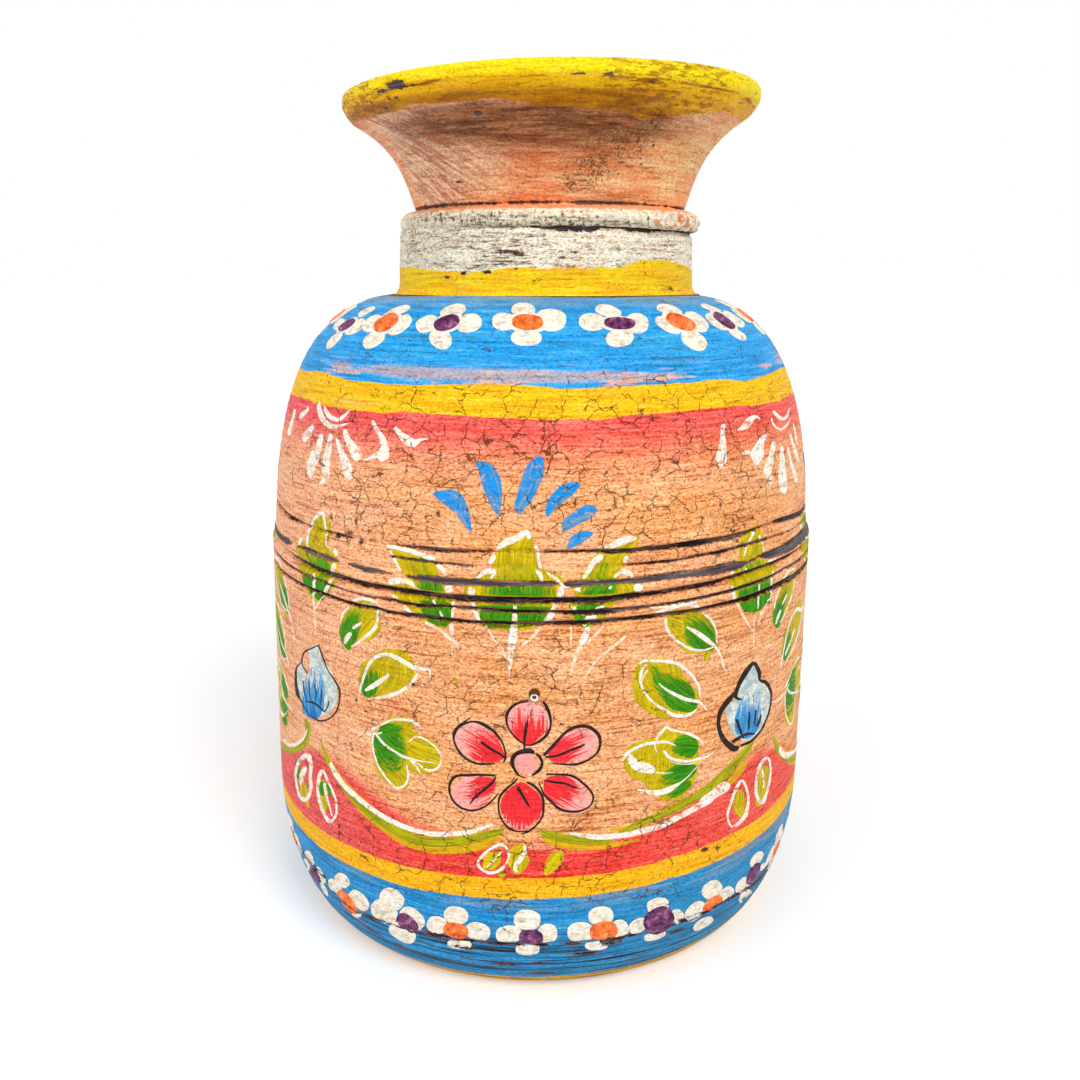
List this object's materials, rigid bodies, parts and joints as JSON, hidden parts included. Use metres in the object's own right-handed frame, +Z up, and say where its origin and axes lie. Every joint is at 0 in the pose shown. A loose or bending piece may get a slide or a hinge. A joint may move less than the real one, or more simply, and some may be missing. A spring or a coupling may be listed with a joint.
{
  "type": "wooden pot",
  "caption": "Hollow turned wooden pot with a flared mouth on a beaded neck, a rounded shoulder, a grooved waist and a straight belly on a flat foot, painted with folk flowers.",
  "frame": {"origin": "centre of the foot's underside, on the surface that the pot stands on", "axes": "+Z up along the turning axis, through the open mouth; -Y towards the side with the red flower"},
  "size_m": [0.2098, 0.2098, 0.3],
  "materials": {
    "mouth_paint": "old terracotta paint with a yellow lip and an off-white bead, worn, chipped and matt",
    "collar_paint": "chalky off-white and yellow paint, cracked and chipped",
    "shoulder_paint": "hand-painted blue, yellow, red and peach bands with folk flowers, semi-matt",
    "belly_paint": "hand-painted peach, red, yellow and blue bands with folk flowers and leaves, semi-matt",
    "bare_wood": "bare, dark with age, matt"
  },
  "bodies": {
    "root": {"mouth": "mouth_paint", "neck_collar": "collar_paint", "upper_body": "shoulder_paint", "lower_body": "belly_paint", "base_disc": "bare_wood"}
  },
  "joints": []
}
